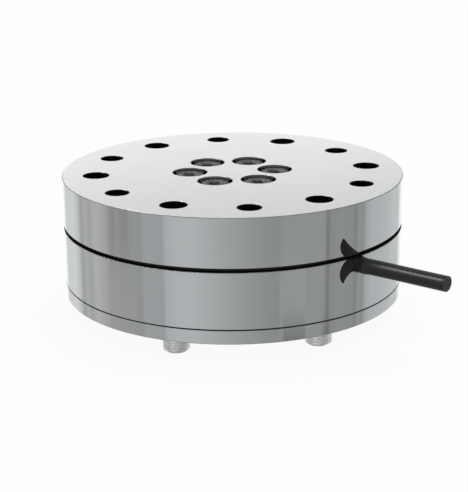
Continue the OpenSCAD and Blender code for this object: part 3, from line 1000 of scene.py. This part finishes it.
    def _world(self) -> None:
        """Makes the world: white to the camera, panels to metal, even light to the rest."""
        world = bpy.data.worlds.new("studio")
        bpy.context.scene.world = world
        world.use_nodes = True
        world.cycles.sampling_method = "NONE"
        r = Recipe(world.node_tree)
        azimuth, elevation = self._direction(r)
        ring, sky = self._ring(r, azimuth, elevation), self._sky(r, azimuth, elevation)
        seen = r.mix(r.smooth(elevation, -8.0, 2.0), ring, sky)
        seen = r.mix(r.smooth(elevation, -34.0, -62.0), seen, grey(self.under))
        path = r.node("ShaderNodeLightPath")
        light = r.mix(r.wire(path, "Is Glossy Ray"), grey(self.fill), seen)
        light = r.mix(r.wire(path, "Is Camera Ray"), light, grey(1.0))
        background = r.node("ShaderNodeBackground", None, {0: light, 1: 1.0})
        r.node("ShaderNodeOutputWorld", None, {0: r.wire(background)})

    def _floor(self) -> None:
        """Makes the floor under the screw ends; metal looks past it, and so does a low camera."""
        mesh = bmesh.new()
        bmesh.ops.create_grid(mesh, x_segments=8, y_segments=8, size=self.reach)
        bmesh.ops.translate(mesh, verts=mesh.verts, vec=(0, 0, CAD_BOX[0].z - 0.2 * MM))
        floor = finish_mesh(mesh, "floor")
        # it can come out of finish_mesh face down, and rays from behind pass through it
        if floor.data.polygons[0].normal.z < 0.0:
            floor.data.flip_normals()
        s = Surface("pale_floor")
        path = s.node("ShaderNodeLightPath")
        camera, glossy = s.wire(path, "Is Camera Ray"), s.wire(path, "Is Glossy Ray")
        behind = s.wire(s.node("ShaderNodeNewGeometry"), "Backfacing")
        speck = s.noise(s.place(), 0.05, 3.0)
        matt = s.node("ShaderNodeBsdfDiffuse", None, {0: s.mix(speck, grey(0.80), grey(0.82))})
        glow = s.node("ShaderNodeEmission", None, {0: grey(1.0), 1: 1.0})
        clear = s.node("ShaderNodeBsdfTransparent")
        values = {0: camera * self.glow, 1: s.wire(matt), 2: s.wire(glow)}
        shown = s.node("ShaderNodeMixShader", None, values)
        past = s.math("MAXIMUM", glossy, behind)
        whole = s.node("ShaderNodeMixShader", None, {0: past, 1: s.wire(shown), 2: s.wire(clear)})
        s.node("ShaderNodeOutputMaterial", None, {0: s.wire(whole)})
        floor.data.materials.append(s.material)

    def _lamp(self) -> None:
        """Hangs one large soft lamp above and behind the object."""
        data = bpy.data.lights.new("overhead", "AREA")
        data.shape, data.energy = "RECTANGLE", self.lamp_power
        data.size, data.size_y = self.lamp_size
        lamp = bpy.data.objects.new("overhead", data)
        lamp.location = self.lamp_place
        lamp.rotation_euler = (-Vector(lamp.location)).to_track_quat("-Z", "Y").to_euler()
        lamp.visible_glossy = False
        bpy.context.scene.collection.objects.link(lamp)

    def build(self) -> None:
        """Makes world, floor and lamp."""
        bpy.context.scene.view_settings.view_transform = "Standard"
        self._world()
        self._floor()
        self._lamp()


# ---- cable ----


class TubeSkin:
    """A tube's skin that grows ring by ring and stores how its surface is laid straight."""

    def __init__(self, mesh: bmesh.types.BMesh, place: Matrix, radius: float, sides: int) -> None:
        """Makes the closed first end.

        Args:
            mesh: The empty mesh that it grows in.
            place: The first ring's place, its Z along the tube.
            radius: Radius of the tube.
            sides: Faces round it.
        """
        self.mesh, self.run = mesh, 0.0
        self.laid = mesh.verts.layers.float_vector.new("laid")
        self.core = mesh.verts.layers.float.new("core")
        ring = bmesh.ops.create_circle(mesh, segments=sides, radius=radius)["verts"]
        bmesh.ops.transform(mesh, matrix=place, verts=ring)
        self.edges = list(mesh.edges)
        bmesh.ops.contextual_create(mesh, geom=self.edges)
        self._mark(ring, place, 0.0)

    def _mark(self, verts: Iterable[bmesh.types.BMVert], place: Matrix, core: float) -> None:
        """Stores the straightened place of some points and their share of core.

        Args:
            verts: The points.
            place: Their ring's place.
            core: Share of core, 0 on the sheath.
        """
        home = place.inverted()
        for v in verts:
            flat = home @ v.co
            v[self.laid] = (self.run, flat.x, flat.y)
            v[self.core] = core

    def grow(self, change: Matrix, place: Matrix, core: float = 0.0) -> None:
        """Extrudes the open edge once.

        Args:
            change: How the new ring moves from the last.
            place: The new ring's place.
            core: Its share of core.
        """
        geom = bmesh.ops.extrude_edge_only(self.mesh, edges=self.edges)["geom"]
        verts = [g for g in geom if isinstance(g, bmesh.types.BMVert)]
        bmesh.ops.transform(self.mesh, matrix=change, verts=verts)
        self._mark(verts, place, core)
        self.edges = [g for g in geom if isinstance(g, bmesh.types.BMEdge)]

    def close(self) -> None:
        """Fills the open edge with one face."""
        bmesh.ops.contextual_create(self.mesh, geom=self.edges)


@dataclass
class Cable:
    """Free end of the cable, cut off flat a short way out of the boot.

    Args:
        exit_angle: Direction of the exit round the axis, in degrees.
        offset: Distance of the exit from the radial line.
        nose: Distance of the boot's flat face from the axis.
        height: Height of the exit.
        radius: Radius of the sheath.
        sides: Faces round it.
        steps: Rings between two points of the route.
        route: Points outwards, sideways and upwards from the boot's flat face.
        broken: Radius of the rounded edge at the cut end.
        cut: Rings of the cut end from the edge inwards: share of the radius from and to,
            step along the cable, and share of core.
    """

    exit_angle: float = -60.0
    offset: float = 10 * MM
    nose: float = 79.256 * MM
    height: float = 28.3 * MM
    radius: float = 3.4 * MM
    sides: int = 56
    steps: int = 4
    route: tuple[tuple[float, float, float], ...] = (
        (0.0, 0.0, 0.0),
        (0.002, 0.0003, 0.0),
        (0.004, 0.00095, 0.0),
        (0.007, 0.0019, 0.0),
        (0.012, 0.00328, 0.0),
        (0.018, 0.00485, 0.0),
        (0.025, 0.0067, 0.0),
        (0.033, 0.00885, 0.0),
        (0.0406, 0.0109, 0.0),
    )
    broken: float = 0.12 * MM
    cut: tuple[tuple[float, float, float, float], ...] = (
        (1.0, 0.955, 0.0, 0.0),
        (0.955, 0.76, 0.0, 0.0),
        (0.76, 0.74, -0.25 * MM, 0.6),
        (0.74, 0.66, 0.0, 1.0),
        (0.66, 0.30, 0.06 * MM, 1.0),
    )

    def mouth(self) -> Matrix:
        """Place of the boot's flat face: X runs outwards, Y sideways and Z up."""
        turn = Matrix.Rotation(math.radians(self.exit_angle), 4, "Z")
        return turn @ Matrix.Translation((self.nose, self.offset, self.height))

    def line(self) -> list[Vector]:
        """The centreline in the part's frame.

        Returns:
            Points on a smooth curve through the route.
        """
        shift = self.mouth()
        knots = [Vector(p) for p in self.route]
        knots = [2 * knots[0] - knots[1], *knots, 2 * knots[-1] - knots[-2]]
        points = []
        for a, b, c, d in zip(knots, knots[1:], knots[2:], knots[3:]):
            for i in range(self.steps):
                t = i / self.steps
                bend = 2 * b + (c - a) * t + (2 * a - 5 * b + 4 * c - d) * t * t
                points.append(0.5 * (bend + (3 * b - a - 3 * c + d) * t**3))
        points.append(knots[-2])
        return [shift @ p for p in points]

    @staticmethod
    def _frames(line: Sequence[Vector]) -> list[Matrix]:
        """A frame square to the line at each of its points.

        Args:
            line: The centreline.

        Returns:
            One matrix for each point, with Z along the line and Y up.
        """
        made = []
        for i, point in enumerate(line):
            ahead = (line[min(i + 1, len(line) - 1)] - line[max(i - 1, 0)]).normalized()
            side = Vector((0, 0, 1)).cross(ahead).normalized()
            up = ahead.cross(side)
            turn = Matrix((side, up, ahead)).transposed().to_4x4()
            made.append(Matrix.Translation(point) @ turn)
        return made

    def _break_edge(self, mesh: bmesh.types.BMesh, end: Matrix) -> None:
        """Rounds the sheath's outer edge at the cut end.

        Args:
            mesh: The cable's skin.
            end: Place of the cut end.
        """
        home = end.inverted()
        rim = {
            v for v in mesh.verts
            if abs((home @ v.co).z) < 1e-6 and abs((home @ v.co).xy.length - self.radius) < 1e-6
        }
        bmesh.ops.bevel(
            mesh,
            geom=[e for e in mesh.edges if set(e.verts) <= rim],
            offset=self.broken,
            segments=3,
            profile=0.5,
            affect="EDGES",
            material=-1,
        )

    def build(self) -> bpy.types.Object:
        """Sweeps the sheath and closes both ends.

        Returns:
            The cable.
        """
        line = self.line()
        frames = self._frames(line)
        mesh, end = bmesh.new(), frames[-1]
        skin = TubeSkin(mesh, frames[0], self.radius, self.sides)
        for last, here in zip(frames, frames[1:]):
            skin.run += (here.translation - last.translation).length
            skin.grow(here @ last.inverted(), here)
        for now, then, step, core in self.cut:
            scale = Matrix.Diagonal((then / now, then / now, 1, 1))
            skin.grow(end @ Matrix.Translation((0, 0, step)) @ scale @ end.inverted(), end, core)
        skin.close()
        self._break_edge(mesh, end)
        made = finish_mesh(mesh, "cable_run", 50.0)
        made.visible_glossy = False
        settle(made, "cable_sheath", Sheath(), ["cable"])
        length = sum((b - a).length for a, b in zip(line, line[1:]))
        2 * self.radius
        log.info("cable: %.1f mm free, from %s", length / MM, [round(v / MM, 1) for v in line[0]])
        return made


# ---- screws ----


@dataclass
class SocketScrew:
    """A cap screw with a knurled head and a hex socket, its seat at height 0.

    Args:
        head_r: Radius of the head.
        head_h: Height of the head.
        shank_r: Radius of the shank and of the thread's crests.
        length: Length under the head, where there is no thread.
        across_flats: Width of the hex socket.
        knurls: Grooves round the head.
        knurl_depth: Depth of the grooves.
        neck_r: Radius of the waist above the thread, or None.
        thread: Heights of the thread's upper and lower end, or None.
        pitch: Pitch of the thread.
        tip: How far the thread tapers in at its ends.
    """

    head_r: float
    head_h: float
    shank_r: float
    length: float
    across_flats: float
    knurls: int = 48
    knurl_depth: float = 0.16 * MM
    neck_r: float | None = None
    thread: tuple[float, float] | None = None
    pitch: float = 1.25 * MM
    tip: float = 0.9 * MM

    def _head(self, mesh: bmesh.types.BMesh, foot: float) -> None:
        """Turns the head and plain shank, then forms socket and knurl.

        Args:
            mesh: Receives the skin.
            foot: Height of the shank's end.
        """
        r, h, shank = self.head_r, self.head_h, self.neck_r or self.shank_r
        socket = self.across_flats / 2
        deep = h - 0.3 * h
        band = (0.16 * h, h - 0.10 * h)
        knurled = r - 0.01 * MM
        profile = [
            (0.0, foot),
            (shank - 0.3 * MM, foot),
            (shank, foot + 0.3 * MM),
            (shank, -0.25 * MM),
            (shank + 0.25 * MM, 0.0),
            (r - 0.35 * MM, 0.0),
            (r, 0.35 * MM),
            (r, band[0]),
            (knurled, band[0] + 0.25 * MM),
            (knurled, band[1] - 0.25 * MM),
            (r, band[1]),
            (r - 0.25 * MM, h - 0.22 * MM),
            (r - 0.75 * MM, h),
            (socket * 1.28, h),
            (socket * 1.13, h - 0.35 * MM),
            (socket, h - 0.8 * MM),
            (socket, deep),
            (socket * 0.5, deep - 0.3 * MM),
            (0.0, deep - 0.8 * MM),
        ]
        steps = 2 * self.knurls
        worn = mesh.verts.layers.float.new("worn")
        lathe(mesh, profile, steps)
        for v in mesh.verts:
            radius, angle = v.co.xy.length, math.atan2(v.co.y, v.co.x)
            if radius < 1e-6:
                continue
            turn = round(angle / math.tau * steps)
            on_band = band[0] + 0.1 * MM < v.co.z < band[1] - 0.1 * MM
            if abs(radius - knurled) < 1e-6 and on_band:
                new = radius - (self.knurl_depth if turn % 2 else 0.0)
                v[worn] = 0.0 if turn % 2 else 1.0
            elif abs(radius - socket) < 1e-6 and v.co.z < h - 0.5 * MM:
                new = socket / math.cos((angle % (math.tau / 6)) - math.tau / 12)
            else:
                continue
            v.co.xy = v.co.xy * (new / radius)

    def _thread(self, mesh: bmesh.types.BMesh) -> None:
        """Winds a helical thread, cuts it square at both ends and tapers them.

        Args:
            mesh: Receives the skin.
        """
        top, bottom = self.thread
        p, crest = self.pitch, self.shank_r
        root = crest - 0.5 * p
        shape = [(root, 0.0), (root, 0.1), (crest, 0.36), (crest, 0.64), (root, 0.9), (root, 1.0)]
        start = bottom - 2 * p
        own = bmesh.new()
        verts = [own.verts.new((radius, 0, start + share * p)) for radius, share in shape]
        edges = [own.edges.new(pair) for pair in zip(verts, verts[1:])]
        turns = math.ceil((top - start) / p) + 1
        per_turn = 40
        bmesh.ops.spin(
            own,
            geom=[*verts, *edges],
            cent=(0, 0, 0),
            axis=(0, 0, 1),
            dvec=(0, 0, p / per_turn),
            angle=math.tau * turns,
            steps=per_turn * turns,
            use_merge=False,
        )
        bmesh.ops.remove_doubles(own, verts=own.verts, dist=1e-6)
        for height, side in ((top, 1), (bottom, -1)):
            bmesh.ops.bisect_plane(
                own,
                geom=[*own.verts, *own.edges, *own.faces],
                dist=1e-7,
                plane_co=(0, 0, height),
                plane_no=(0, 0, side),
                clear_outer=True,
            )
        for v in own.verts:
            room = min(v.co.z - bottom, (top - v.co.z) * 1.2)
            most = crest - self.tip + room
            radius = v.co.xy.length
            if radius > most:
                v.co.xy = v.co.xy * (most / radius)
        rim = [e for e in own.edges if e.is_boundary]
        bmesh.ops.holes_fill(own, edges=rim, sides=0)
        data = bpy.data.meshes.new("thread")
        own.to_mesh(data)
        own.free()
        mesh.from_mesh(data)
        bpy.data.meshes.remove(data)

    def form(self, mesh: bmesh.types.BMesh) -> None:
        """Makes the whole screw.

        Args:
            mesh: Receives the skin.
        """
        if self.thread:
            self._head(mesh, self.thread[0] - 0.4 * MM)
            self._thread(mesh)
        else:
            self._head(mesh, -self.length)


@dataclass
class ScrewCircle:
    """Equal cap screws round the axis, made as one piece.

    Args:
        node: The solids that they stand for.
        name: The piece's name.
        slot: Its material slot.
        finish: Its finish.
        head_r: Radius of each head.
        head_h: Height of each head.
        shank_r: Radius of each shank.
        across_flats: Width of each hex socket.
        knurls: Grooves round each head.
        neck_r: Radius of the waist above the thread, or None.
        threaded: True where the thread stands out below the mounting face.
        count: Number of screws.
    """

    node: str
    name: str
    slot: str
    finish: Finish
    head_r: float
    head_h: float
    shank_r: float
    across_flats: float
    knurls: int
    neck_r: float | None = None
    threaded: bool = False
    count: int = 6

    def build(self) -> bpy.types.Object:
        """Makes one screw and repeats it round the axis.

        Returns:
            The piece.
        """
        low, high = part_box(self.node)
        seat = high.z - self.head_h
        screw = SocketScrew(
            self.head_r,
            self.head_h,
            self.shank_r,
            seat - low.z,
            self.across_flats,
            self.knurls,
            neck_r=self.neck_r,
            thread=(-seat, low.z - seat) if self.threaded else None,
        )
        mesh = bmesh.new()
        screw.form(mesh)
        bmesh.ops.translate(mesh, verts=mesh.verts, vec=(0, 0, seat))
        repeat_round(mesh, self.count, high.x - self.head_r)
        made = finish_mesh(mesh, self.name, 30.0)
        settle(made, self.slot, self.finish, [self.node])
        return made


@dataclass
class HubScrews(ScrewCircle):
    """The six screws that hold the tool flange on the hub, heads just under the face."""

    node: str = "hub_screws"
    name: str = "hub_cap_screws"
    slot: str = "hub_steel"
    finish: Finish = DarkScrew()
    head_r: float = 6.3 * MM
    head_h: float = 8 * MM
    shank_r: float = 4 * MM
    across_flats: float = 6 * MM
    knurls: int = 42


@dataclass
class MountingScrews(ScrewCircle):
    """The six captive screws that hold the sensor on the robot."""

    node: str = "mounting_screws"
    name: str = "captive_screws"
    slot: str = "zinc_plate"
    finish: Finish = Metal(
        tint=(0.93, 0.94, 0.95),
        rough=0.08,
        lay=Lay.BLASTED,
        waves=1.2,
        depth=0.000002,
        worn=(0.62, 0.63, 0.62),
        worn_share=0.3,
        metallic=0.72,
    )
    head_r: float = 9 * MM
    head_h: float = 11.8 * MM
    shank_r: float = 6 * MM
    across_flats: float = 10 * MM
    knurls: int = 60
    neck_r: float | None = 5 * MM
    threaded: bool = True


# ---- rubber at the cable exit ----


@dataclass
class MouldedCopy:
    """A soft-edged moulding that takes a solid's shape and breaks its sharp edges.

    Args:
        node: The solid that it copies.
        name: Its own name.
        slot: Its material slot.
        finish: Its rubber.
        edge: Radius of its broken edges.
        crease: Angle in degrees above which an edge is broken.
        lip: Wall that the stretched rubber leaves on the cable, or None off the cable.
        reach: How far the drawn-out nose runs on along the cable.
        nose: Length of the solid's own nose.
        near: Distance from the cable within which the rubber is drawn in most.
        far: Distance from the cable past which it keeps its place.
    """

    node: str
    name: str
    slot: str
    finish: Polymer
    edge: float = 0.2 * MM
    crease: float = 38.0
    lip: float | None = None
    reach: float = 0.0
    nose: float = 1.9 * MM
    near: float = 0.9 * MM
    far: float = 2.2 * MM

    def _hug(self, mesh: bmesh.types.BMesh) -> None:
        """Draws the flare outside the wall in and out along the cable, until it hugs it.

        Args:
            mesh: The moulding's skin.
        """
        cable, wall = Cable(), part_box("lower_body")[1].x
        mouth = cable.mouth()
        home, tight = mouth.inverted(), cable.radius + self.lip
        for v in mesh.verts:
            place = home @ v.co
            radius = place.yz.length
            if v.co.xy.length < wall + 0.05 * MM or not tight < radius < tight + self.far:
                continue
            pull = min(1.0, (tight + self.far - radius) / (self.far - self.near))
            out = max(0.0, min(1.0, 1.0 + place.x / self.nose))
            pull = max(0.8 * pull, out)
            place.yz = place.yz * (1.0 + pull * (tight / radius - 1.0))
            place.x += self.reach * out**2
            v.co = mouth @ place

    def build(self) -> bpy.types.Object:
        """Copies the solid's skin, joins its triangles and rounds its edges.

        Returns:
            The piece.
        """
        mesh = bmesh.new()
        mesh.from_mesh(frame["nodes"][self.node].data)
        bmesh.ops.remove_doubles(mesh, verts=mesh.verts, dist=1e-6)
        flat = [e for e in mesh.edges if e.is_manifold and e.calc_face_angle(1.0) < 0.002]
        bmesh.ops.dissolve_edges(mesh, edges=flat, use_verts=False, use_face_split=False)
        limit = math.radians(self.crease)
        sharp = [e for e in mesh.edges if e.is_manifold and e.calc_face_angle(0.0) > limit]
        bmesh.ops.bevel(
            mesh,
            geom=sharp,
            offset=self.edge,
            segments=3,
            profile=0.5,
            affect="EDGES",
            clamp_overlap=True,
            material=-1,
        )
        bmesh.ops.triangulate(mesh, faces=[f for f in mesh.faces if len(f.verts) > 4])
        if self.lip is not None:
            self._hug(mesh)
        made = finish_mesh(mesh, self.name, 40.0)
        made.visible_glossy = False
        settle(made, self.slot, self.finish, [self.node])
        return made


# ---- solids that keep their shape ----


@dataclass
class KeptSolids:
    """The CAD solids whose shape is right: each gets its finish.

    Args:
        radius: Outer radius of the housing, in millimetres.
        finishes: Each solid's finish.
    """

    radius: float = 78.0
    finishes: dict[str, Finish] = field(default_factory=dict)

    def __post_init__(self) -> None:
        """Fills the table of finishes from the housing's heights."""
        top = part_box("upper_flange")[1].z / MM
        gap_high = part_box("upper_flange")[0].z / MM
        gap_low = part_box("lower_body")[1].z / MM
        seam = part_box("lower_body")[0].z / MM
        # no face of the lower body is open, so its level lies below the part
        none = -1.0
        brass = Metal((0.72, 0.53, 0.22), 0.26, Lay.TURNED, 3.0, worn=(0.5, 0.36, 0.14))
        ground = Metal((0.64, 0.65, 0.67), 0.16, Lay.TURNED, 3.0)
        bright = Metal((0.60, 0.61, 0.63), 0.24, Lay.TURNED, worn=(0.45, 0.45, 0.46))
        dark = Metal((0.045, 0.045, 0.05), 0.42, metallic=0.7, worn=(0.2, 0.19, 0.18))
        rubber = Polymer((0.012, 0.012, 0.012), rough=0.75, grain=1.5, dusty=0.15)
        self.finishes = {
            "upper_flange": HousingSteel(self.radius, top, (), gap_high, shaded_bores=True),
            "lower_body": HousingSteel(self.radius, none, (seam,), gap_low, shaded_bores=True),
            "base_plate": HousingSteel(self.radius, 0.0, (seam,)),
            "spring_element": Metal((0.56, 0.57, 0.60), 0.3, Lay.MILLED, worn=(0.4, 0.4, 0.42)),
            "strain_gauges": Polymer(
                (0.55, 0.27, 0.06), (0.7, 0.5, 0.3), 0.3, 4.0, 0.00001, 0.2, gloss=0.4
            ),
            "rim_screws": dark,
            "lock_washers": Metal((0.66, 0.67, 0.69), 0.3, Lay.BLASTED, worn=(0.5, 0.5, 0.5)),
            "plate_screws": bright,
            "dowels": ground,
            "stop_pins": ground,
            "gap_seal": rubber,
            "base_seal": rubber,
            "cable_tail": Polymer((0.0125, 0.0125, 0.0135), rough=0.4, grain=1.0),
            "cable_clamp": Metal((0.7, 0.7, 0.72), 0.34, Lay.MILLED, worn=(0.55, 0.55, 0.56)),
            "clamp_screws": dark,
            "signal_wires": Polymer((0.55, 0.46, 0.06), (0.6, 0.55, 0.35), 0.45, 3.0),
            "circuit_board": Laminate(),
            "board_standoffs": brass,
            "board_screws": bright,
            "board_chips": Polymer((0.014, 0.014, 0.015), rough=0.5, grain=3.0),
            "board_connector": Polymer((0.72, 0.69, 0.58), (0.6, 0.58, 0.5), 0.45, 2.0),
        }

    def build(self) -> None:
        """Gives each solid its material."""
        built: dict[Finish, bpy.types.Material] = {}
        slots = {part["node"]: part["material_slot"] for part in frame["record"]["subparts"]}
        for node, finish in self.finishes.items():
            if finish not in built:
                built[finish] = finish.build(f"{slots[node]}_on_{node}")
            solid = frame["nodes"][node]
            solid.data.materials.clear()
            solid.data.materials.append(built[finish])
            log.info("%s: kept, %s", node, built[finish].name)


def main() -> None:
    """Builds camera, cable, light and every piece in turn."""
    logging.basicConfig(level=logging.INFO, format="%(name)s: %(message)s")
    Viewpoint().build()
    Cable().build()
    Studio().build()
    HubScrews().build()
    MountingScrews().build()
    rubber = Polymer(
        tint=(0.0085, 0.0085, 0.0095),
        dust=(0.04, 0.04, 0.04),
        rough=0.5,
        grain=1.6,
        depth=0.00002,
        specular=0.22,
    )
    slot = "boot_rubber"
    MouldedCopy("cable_boot", "boot_moulding", slot, rubber, lip=0.04 * MM, reach=3.2 * MM).build()
    MouldedCopy("chafe_guard", "guard_moulding", slot, rubber).build()
    KeptSolids().build()


if __name__ == "__main__":
    main()
